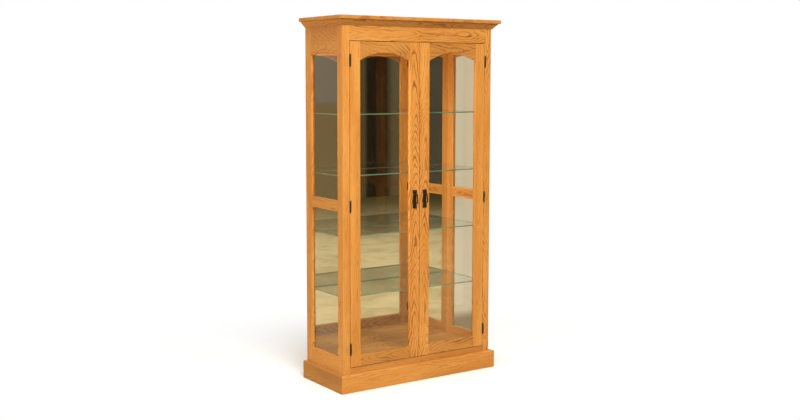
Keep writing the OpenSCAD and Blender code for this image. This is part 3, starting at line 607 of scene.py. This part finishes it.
PEG_R = 0.0025
COLLAR = 0.0012
TONGUE_T, TONGUE_CORNER, TONGUE_EDGE = 0.0018, 0.0030, 0.0006
pegs = []
for points in solids_of("shelf_pegs"):
    low, high = points.min(0), points.max(0)
    out = 1.0 if high[X] + low[X] > 0 else -1.0
    deep, tip = (high[X], low[X]) if out > 0 else (low[X], high[X])
    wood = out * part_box("right_front_stile")[0].x
    middle = (low + high) / 2
    stub_z = low[Z] + PEG_R
    length = abs(deep - wood)
    rounded = [(-COLLAR, 0.0019), (-COLLAR * 0.8, 0.0027), (-COLLAR * 0.4, 0.0030), (-0.0001, 0.0029)]
    stub = [(0.0, PEG_R), (length * 0.3, PEG_R), (length * 0.9, PEG_R), (length, PEG_R * 0.7)]
    pegs.append(turned(rounded + stub, (wood, middle[Y], stub_z), (out, 0, 0), 20))
    ends = sorted((tip, wood - out * COLLAR * 0.3))
    tongue = (ends[0], low[Y], high[Z] - TONGUE_T), (ends[1], high[Y], high[Z])
    pegs.append(slab(*tongue, Z, TONGUE_CORNER, TONGUE_EDGE))
nickel = plated_steel("nickel_plate", (0.66, 0.64, 0.60, 1.0), 0.24)
piece("plated_shelf_pegs", "cabinet", "bright_steel", pegs, [nickel], "shelf_pegs")


# ---------------------------------------------------------------------------------------
# Glass shelves
# Four sheets of 6 mm float glass with ground and polished edges. Seen from the edge the glass
# is green, because light runs a long way through it.
# ---------------------------------------------------------------------------------------

shelf_plate = float_glass("shelf_plate_glass", (0.940, 0.968, 0.940, 1.0), 0.012, gloss=1.4)
shelf_edge, tree = blank("shelf_edge_glass")
at = tree.add("TexCoord", out="Object")
drift = tree.add("TexNoise", None, {0: at, "Scale": 7.0, "Detail": 3.0}).rise(0.3, 0.7)
chips = tree.add("TexNoise", None, {0: at, "Scale": 420.0, "Detail": 2.0}).rise(0.62, 0.72)
green = {
    "Base Color": drift.mix((0.100, 0.190, 0.115, 1.0), (0.200, 0.330, 0.220, 1.0)),
    "Roughness": 0.12 + chips * 0.30,
    "Coat Weight": 0.5,
}
tree.add("OutputMaterial", None, {"Surface": tree.add("BsdfPrincipled", None, green)})

SHELF_CORNER, SHELF_BEVEL = 0.006, 0.0012
for number in (1, 2, 3, 4):
    sheet = slab(*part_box(f"glass_shelf_{number}"), Z, SHELF_CORNER, SHELF_BEVEL, finish=(1, 0))
    piece(f"polished_shelf_{number}", "cabinet", "shelf_glass", [sheet], [shelf_plate, shelf_edge],
          f"glass_shelf_{number}")


# ---------------------------------------------------------------------------------------
# Magnetic catches
# Brown moulded cases under the ceiling panel, each with a magnet between two steel pole
# plates that reach out to its front face.
# ---------------------------------------------------------------------------------------

brown, tree = blank("brown_moulded_plastic")
at = tree.add("TexCoord", out="Object")
texture = tree.add("TexVoronoi", None, {0: at, "Scale": 1400.0}).rise(0.1, 0.7)
rubbed = tree.add("TexNoise", None, {0: at, "Scale": 60.0, "Detail": 3.0}).rise(0.4, 0.7)
case = {
    "Base Color": rubbed.mix((0.085, 0.040, 0.018, 1.0), (0.120, 0.060, 0.030, 1.0)),
    "Roughness": 0.42 + rubbed * 0.12,
    "Normal": tree.add("Bump", None, {"Strength": 0.3, "Distance": 0.0001, "Height": texture}),
}
tree.add("OutputMaterial", None, {"Surface": tree.add("BsdfPrincipled", None, case)})
clad("magnetic_catches", brown)

MAGNET_W, MAGNET_REACH, LAYER_T = 0.0232, 0.0014, 0.0024      # a pole plate, the magnet and a pole plate
MAGNET_UP = 0.007                # from the foot of the case to the magnet's middle
MAGNET_SUNK = 0.0006             # how far the magnet's face lies behind the plates
magnets = []
for points in solids_of("magnetic_catches"):
    low, high = points.min(0), points.max(0)
    x, y, z = (low[X] + high[X]) / 2, low[Y], low[Z] + MAGNET_UP
    for layer in (-1, 0, 1):
        front = y if layer else y + MAGNET_SUNK
        near_corner = (x - MAGNET_W / 2, front, z + (layer - 0.5) * LAYER_T)
        far_corner = (x + MAGNET_W / 2, y + MAGNET_REACH, z + (layer + 0.5) * LAYER_T - 0.0001)
        magnets.append(slab(near_corner, far_corner, Y, 0.0005, 0.0002))
piece("catch_magnets", "cabinet", "bright_steel", magnets, [nickel])


# ---------------------------------------------------------------------------------------
# Hinges
# Six wrought-style butt hinges, blackened and waxed. The leaves are folded from strip and lie
# behind the frame and the doors, and a turned pin with a ball at each end drops through.
# ---------------------------------------------------------------------------------------

def black_iron(name, hammer):
    """Blackened iron under wax: brown-black patches, duller where it is thick, and small hammer marks."""
    material, tree = blank(name)
    at = tree.add("TexCoord", out="Object")
    patches = tree.add("TexNoise", None, {0: at, "Scale": 120.0, "Detail": 4.0}).rise(0.35, 0.70)
    marks = tree.add("TexVoronoi", {"feature": "SMOOTH_F1"}, {0: at, "Scale": 260.0})
    scale = tree.add("TexNoise", None, {0: at, "Scale": 1500.0, "Detail": 2.0})
    height = marks * hammer + scale * 0.15 + patches * 0.2
    iron = {
        "Base Color": patches.mix((0.006, 0.005, 0.005, 1.0), (0.024, 0.016, 0.010, 1.0)),
        "Metallic": 0.20 + patches * 0.30,
        "Roughness": 0.40 + patches * 0.16,
        "Coat Weight": 0.15,
        "Coat Roughness": 0.30,
        "Normal": tree.add("Bump", None, {"Strength": 0.5, "Distance": 0.0004, "Height": height}),
    }
    tree.add("OutputMaterial", None, {"Surface": tree.add("BsdfPrincipled", None, iron)})
    return material


hinge_iron = black_iron("hinge_black_iron", 0.2)
clad("hinge_frame_leaves", hinge_iron)

BALL_R = 0.0045
PIN_R = 0.002
COLLAR_RISE = [(0.02658, 0.0034), (0.02632, 0.0036), (0.02530, 0.0036), (0.02506, 0.0034), (0.02500, PIN_R)]
pins = []
for points in solids_of("hinge_pins"):
    low, high = points.min(0), points.max(0)
    x, y, z = (low + high) / 2
    top = (high[Z] - low[Z]) / 2
    a = np.linspace(0, np.radians(152), 11)
    ball = np.stack([top - BALL_R + BALL_R * np.cos(a), BALL_R * np.sin(a)], -1)
    ball[0, 1] = 0.0002
    end = np.concatenate([ball, COLLAR_RISE])
    profile = np.concatenate([end, end[::-1] * (-1, 1)])
    pins.append(turned(profile, (x, y, z), (0, 0, 1)))
piece("ball_tipped_hinge_pins", "cabinet", "black_iron", pins, [hinge_iron], "hinge_pins")


# ---------------------------------------------------------------------------------------
# Carcass screws
# Zinc-plated pan-head screws with a cross recess: through the hinge leaves, through the back
# panel into the rear stiles, and up through the catches.
# ---------------------------------------------------------------------------------------

WIDE_HEAD, TALL_HEAD, LOW_HEAD = 0.0026, 0.0016, 0.0010


def screw(points):
    """A screw in the place of a CAD screw's points, its head towards the wider end.

    The head is a dome: level = height x (1 - (r / R)^2.6), less a cross recess where the distance
    to either arm's line is small, which fades out with r. The shank is a plain cylinder with a point."""
    low, high = points.min(0), points.max(0)
    flat = int(np.argmax(high - low))
    middle = (low + high) / 2
    spread = np.linalg.norm(np.delete(points - middle, flat, 1), axis=1)
    upper = points[:, flat] > middle[flat]
    up = 1.0 if spread[upper].max() > spread[~upper].max() else -1.0
    axis = np.eye(3)[flat] * up
    radius = spread.max()
    length = (high - low)[flat]
    head = TALL_HEAD if radius > WIDE_HEAD else LOW_HEAD
    tip = middle + axis * length / 2
    first = np.eye(3)[(flat + 1) % 3]
    second = np.cross(axis, first)
    r = np.concatenate([[0.0001], np.linspace(0.12, 1.0, 9)])[:, None] * radius
    a = np.linspace(0, 2 * np.pi, 32, endpoint=False)[None]
    u, v = r * np.cos(a), r * np.sin(a)
    arm = np.minimum(np.abs(u), np.abs(v)) / (0.16 * radius)
    recess = np.clip(1.4 - arm, 0, 1) * np.clip(2.2 - 3.2 * r / radius, 0, 1)
    dome = -head * 0.62 * (r / radius) ** 2.6 - recess * head * 0.5
    crown = tip + dome[..., None] * axis + u[..., None] * first + v[..., None] * second
    circle = np.cos(a[0])[:, None] * first + np.sin(a[0])[:, None] * second
    shank = np.array([(head, 1.0), (head, 0.5), (length * 0.9, 0.5), (length, 0.1)]) * (1, radius)
    rest = tip - shank[:, None, :1] * axis + shank[:, None, 1:] * circle
    return skin(np.concatenate([crown, rest]))


zinc = plated_steel("zinc_plate", (0.58, 0.57, 0.53, 1.0), 0.30)
carcass = [screw(points) for points in solids_of("carcass_screws")]
piece("cross_head_carcass_screws", "cabinet", "bright_steel", carcass, [zinc], "carcass_screws")


# ---------------------------------------------------------------------------------------
# Doors: two stiles, an arched top rail and a bottom rail each
# Oak frames like the sides, set inside the face frame with a thin gap all round. The meeting
# stiles show bold arches, and the hinge stiles are straight in the grain.
# ---------------------------------------------------------------------------------------

for offset, side in enumerate(("left", "right")):
    door = side + "_door_"
    board(door + "hinge_stile", Z, X, 121 + offset, **PLAIN)
    board(door + "meeting_stile", Z, X, 131 + offset, ring=0.014, arch=0.060, bold=1.25)
    board(door + "top_rail", X, Z, 141 + offset, ring=0.016, arch=0.090, shade=0.76)
    board(door + "bottom_rail", X, Z, 151 + offset, ring=0.018, arch=0.055, bold=1.2, shade=0.80)


# ---------------------------------------------------------------------------------------
# Door panes and their beads
# One sheet of clear float glass a door, cut square at the top behind the arch, held from
# behind by rounded oak strips like those of the sides.
# ---------------------------------------------------------------------------------------

DOOR_ARCH = 0.040
DOOR_BEAD_T = 0.0043
door_pane = float_glass("door_pane_glass", PANE_TINT, 0.008)
for side, outer, inner in (("left", "hinge", "meeting"), ("right", "meeting", "hinge")):
    door = side + "_door_"
    clad(door + "glass", door_pane)
    x0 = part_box(door + outer + "_stile")[1].x - LAP
    x1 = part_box(door + inner + "_stile")[0].x + LAP
    z0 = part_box(door + "bottom_rail")[1].z - LAP
    z1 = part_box(door + "top_rail")[0].z + DOOR_ARCH + LAP
    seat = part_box(door + "top_rail")[1].y - DOOR_BEAD_T
    strips = bead_frame((x0, seat, z0), (x1, seat, z1), X, (0, 1, 0), DOOR_BEAD_T)
    piece(side + "_door_pane_beads", side + "_door", "oak_front", strips, [bead_oak], door + "beads")


# ---------------------------------------------------------------------------------------
# Door leaves, strike plates and screws
# The doors' halves of the hinges, a small plated plate at the top that the magnet pulls on,
# and blackened screws with a cross recess through leaves, strikes and handle plates.
# ---------------------------------------------------------------------------------------

screw_iron = black_iron("screw_black_iron", 0.1)
for side in ("left", "right"):
    door = side + "_door_"
    clad(door + "leaves", hinge_iron)
    clad(side + "_strike_plate", zinc)
    fixings = [screw(points) for points in solids_of(door + "screws")]
    piece(door + "cross_head_screws", side + "_door", "black_iron", fixings, [screw_iron], door + "screws")


# ---------------------------------------------------------------------------------------
# Handle plates
# Plates forged from black iron, waisted in the middle and flared at both ends, with a worn
# bevel and a knuckle above the middle that the bail turns in.
# ---------------------------------------------------------------------------------------

PLATE_T, PLATE_BEVEL = 0.0035, 0.0011
WAIST, FLARE = 0.0095, 0.0040          # half the plate's width at the waist, and its gain at the ends
WAIST_END, HEAD_H = 0.0245, 0.014      # where it starts to widen, and the part of full width at either end
DISH = 0.00022
KNUCKLE_R, KNUCKLE_HALF, KNUCKLE_EASE = 0.004, 0.0075, 0.0005
WEB = 0.001                            # where the knuckle's web leaves the plate
handle_iron = black_iron("handle_black_iron", 0.8)


def bail_pivot(side):
    """Where the middle of one door's bail turns."""
    return next(j for j in frame["joints"] if j["child"] == side + "_handle_bail")["pos_m"]


def half_width(up, half_height):
    """The plate's half width at a height above its middle: WAIST + FLARE x g^2 (3 - 2 g), a smooth S.

    g goes from 0 at the end of the waist to 1 at the foot of the head."""
    grown = np.clip((np.abs(up) - WAIST_END) / (half_height - HEAD_H - WAIST_END), 0, 1)
    return WAIST + FLARE * grown * grown * (3 - 2 * grown)


def forged_plate(x, face, z, half_height):
    """The plate as a stack of level sections from its foot to its head.

    Each section is flat behind, quarter-round at both sides, and dished by the hammer in front: the
    depth there falls by a product of two slow waves. The end sections are lower, as the bevel goes
    round. The plate's middle is at x and z on the door's face, and it stands out towards -Y."""
    ease = np.linspace(0, np.pi / 2, 5)
    ends = half_height - PLATE_BEVEL * (1 - np.sin(ease))
    up = np.concatenate([-ends[::-1], np.linspace(-ends[0], ends[0], 61)[1:-1], ends])
    height = np.full(len(up), PLATE_T)
    height[-5:] = PLATE_T - PLATE_BEVEL * (1 - np.cos(ease))
    height[:5] = height[-5:][::-1]
    up, height = up[:, None], height[:, None]
    wide = half_width(up, half_height)
    across = np.linspace(-1, 1, 15)[None]
    side = ease[None]
    front_x = (wide - PLATE_BEVEL) * across
    dish = DISH * (1 + np.sin(front_x * 900 + up * 260) * np.sin(up * 620 - front_x * 300))
    front_y = height - dish * (1 - across ** 8)
    left_x = -wide + PLATE_BEVEL * (1 - np.cos(side))
    side_y = height - PLATE_BEVEL * (1 - np.sin(side))
    xs = np.concatenate([-wide, left_x, front_x[:, 1:-1], -left_x[:, ::-1], wide], 1)
    ys = np.concatenate([0 * wide, side_y, front_y[:, 1:-1], side_y[:, ::-1], 0 * wide], 1)
    return skin(np.stack([x + xs, face - ys, z + up + 0 * xs], -1))


def knuckle(x, face, z, out):
    """The tube that the bail turns in, with the web that ties it to the plate.

    Its section is a half circle in front and a straight-sided web behind; its ends are eased."""
    a = np.linspace(-np.pi / 2, np.pi / 2, 15)
    us = np.concatenate([[WEB], out + KNUCKLE_R * np.cos(a), [WEB]])
    vs = np.concatenate([[-KNUCKLE_R], KNUCKLE_R * np.sin(a), [KNUCKLE_R]])
    ease = np.linspace(0, np.pi / 2, 4)
    drawn_in = KNUCKLE_EASE * (1 - np.sin(ease))
    from_end = KNUCKLE_EASE * (1 - np.cos(ease))
    shrink = np.concatenate([drawn_in, drawn_in[::-1]])[:, None]
    place = np.concatenate([from_end - KNUCKLE_HALF, KNUCKLE_HALF - from_end[::-1]])[:, None]
    scale = 1 - shrink / KNUCKLE_R
    ys = out + (us - out) * scale
    return skin(np.stack([x + place + 0 * ys, face - ys, z + vs * scale], -1))


for side in ("left", "right"):
    low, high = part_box(side + "_handle_plate")
    pivot = bail_pivot(side)
    face = high.y
    x, z = (low.x + high.x) / 2, (low.z + high.z) / 2
    forged = [
        forged_plate(x, face, z, (high.z - low.z) / 2),
        knuckle(x, face, pivot[Z], face - pivot[Y]),
    ]
    piece(side + "_forged_handle_plate", side + "_door", "black_iron", forged, [handle_iron],
          side + "_handle_plate")


# ---------------------------------------------------------------------------------------
# Bails
# Drop handles bent from 7 mm round iron bar: two arms that spread downwards from the knuckle
# to a foot that dips in the middle, drawn thinner between the bends. Thin ends turn in the knuckle.
# ---------------------------------------------------------------------------------------

BAR_R, THINNEST = 0.0035, 0.88         # its radius at the bends, and the share of it halfway between them
ARM_X, FOOT_X = 0.01175, 0.017         # half the loop's width at the pivot, and at its foot
DROP, DIP = 0.043, 0.007               # from the pivot down to the foot's corners, and on to its middle
BENDS = np.array([[0.006], [0.004], [0.006]])
DOG_R, DOG_L = 0.00175, 0.007


def bent(corners, cuts):
    """Evenly spaced points along a path through corners that are rounded off.

    Each bend leaves its leg a cut before the corner and joins the next a cut after it, on the
    parabola (1 - t)^2 x leaving + 2 t (1 - t) x corner + t^2 x joining."""
    corners = np.array(corners, float)
    legs = np.diff(corners, axis=0)
    legs /= np.linalg.norm(legs, axis=1, keepdims=True)
    inner = corners[1:-1]
    t = np.linspace(0, 1, 11)[:, None]
    leaving, joining = (inner - legs[:-1] * cuts)[:, None], (inner + legs[1:] * cuts)[:, None]
    bends = (1 - t) ** 2 * leaving + 2 * t * (1 - t) * inner[:, None] + t ** 2 * joining
    path = np.concatenate([corners[:1], bends.reshape(-1, 2), corners[-1:]])
    reach = np.concatenate([[0], np.cumsum(np.linalg.norm(np.diff(path, axis=0), axis=1))])
    even = np.linspace(0, reach[-1], 110)
    return np.stack([np.interp(even, reach, path[:, 0]), np.interp(even, reach, path[:, 1])], -1)


def bar(path, radius, side):
    """A round bar along a path in one plane: a point is path + radius x (cos a x side + sin a x out).

    side is the plane's normal, and out is the path's own direction crossed with it."""
    run = np.gradient(path, axis=0)
    run /= np.linalg.norm(run, axis=1, keepdims=True)
    side = np.array(side, float)
    out = np.cross(run, side)
    a = np.linspace(0, 2 * np.pi, 20, endpoint=False)[None, :, None]
    return skin(path[:, None] + radius[:, None, None] * (np.cos(a) * side + np.sin(a) * out[:, None]))


def knob(place, radius):
    """A small ball where the bar ends at the knuckle."""
    a = np.linspace(0.03, np.pi - 0.03, 13)
    return turned(np.stack([radius * np.cos(a), radius * np.sin(a)], -1), place, (1, 0, 0), 20)


loop = bent([(-ARM_X, 0), (-FOOT_X, -DROP), (0, -DROP - DIP), (FOOT_X, -DROP), (ARM_X, 0)], BENDS)
full = np.cos(loop[:, 1] / DROP * 2 * np.pi) * 0.5 + 0.5
dog = [(0.0, 0.0017), (0.0003, DOG_R), (DOG_L - 0.0002, DOG_R), (DOG_L, 0.0016)]
for side in ("left", "right"):
    pivot = np.array(bail_pivot(side))
    path = pivot + np.stack([loop[:, 0], 0 * loop[:, 0], loop[:, 1]], -1)
    forged = [bar(path, BAR_R * (THINNEST + (1 - THINNEST) * full), (0, 1, 0))]
    for end in (-1, 1):
        forged.append(knob(path[0 if end < 0 else -1], BAR_R + 0.00015))
        forged.append(turned(dog, pivot + ((ARM_X - DOG_L) * end, 0, 0), (end, 0, 0), 20))
    piece(side + "_forged_bail", side + "_handle_bail", "black_iron", forged, [handle_iron], side + "_bail")
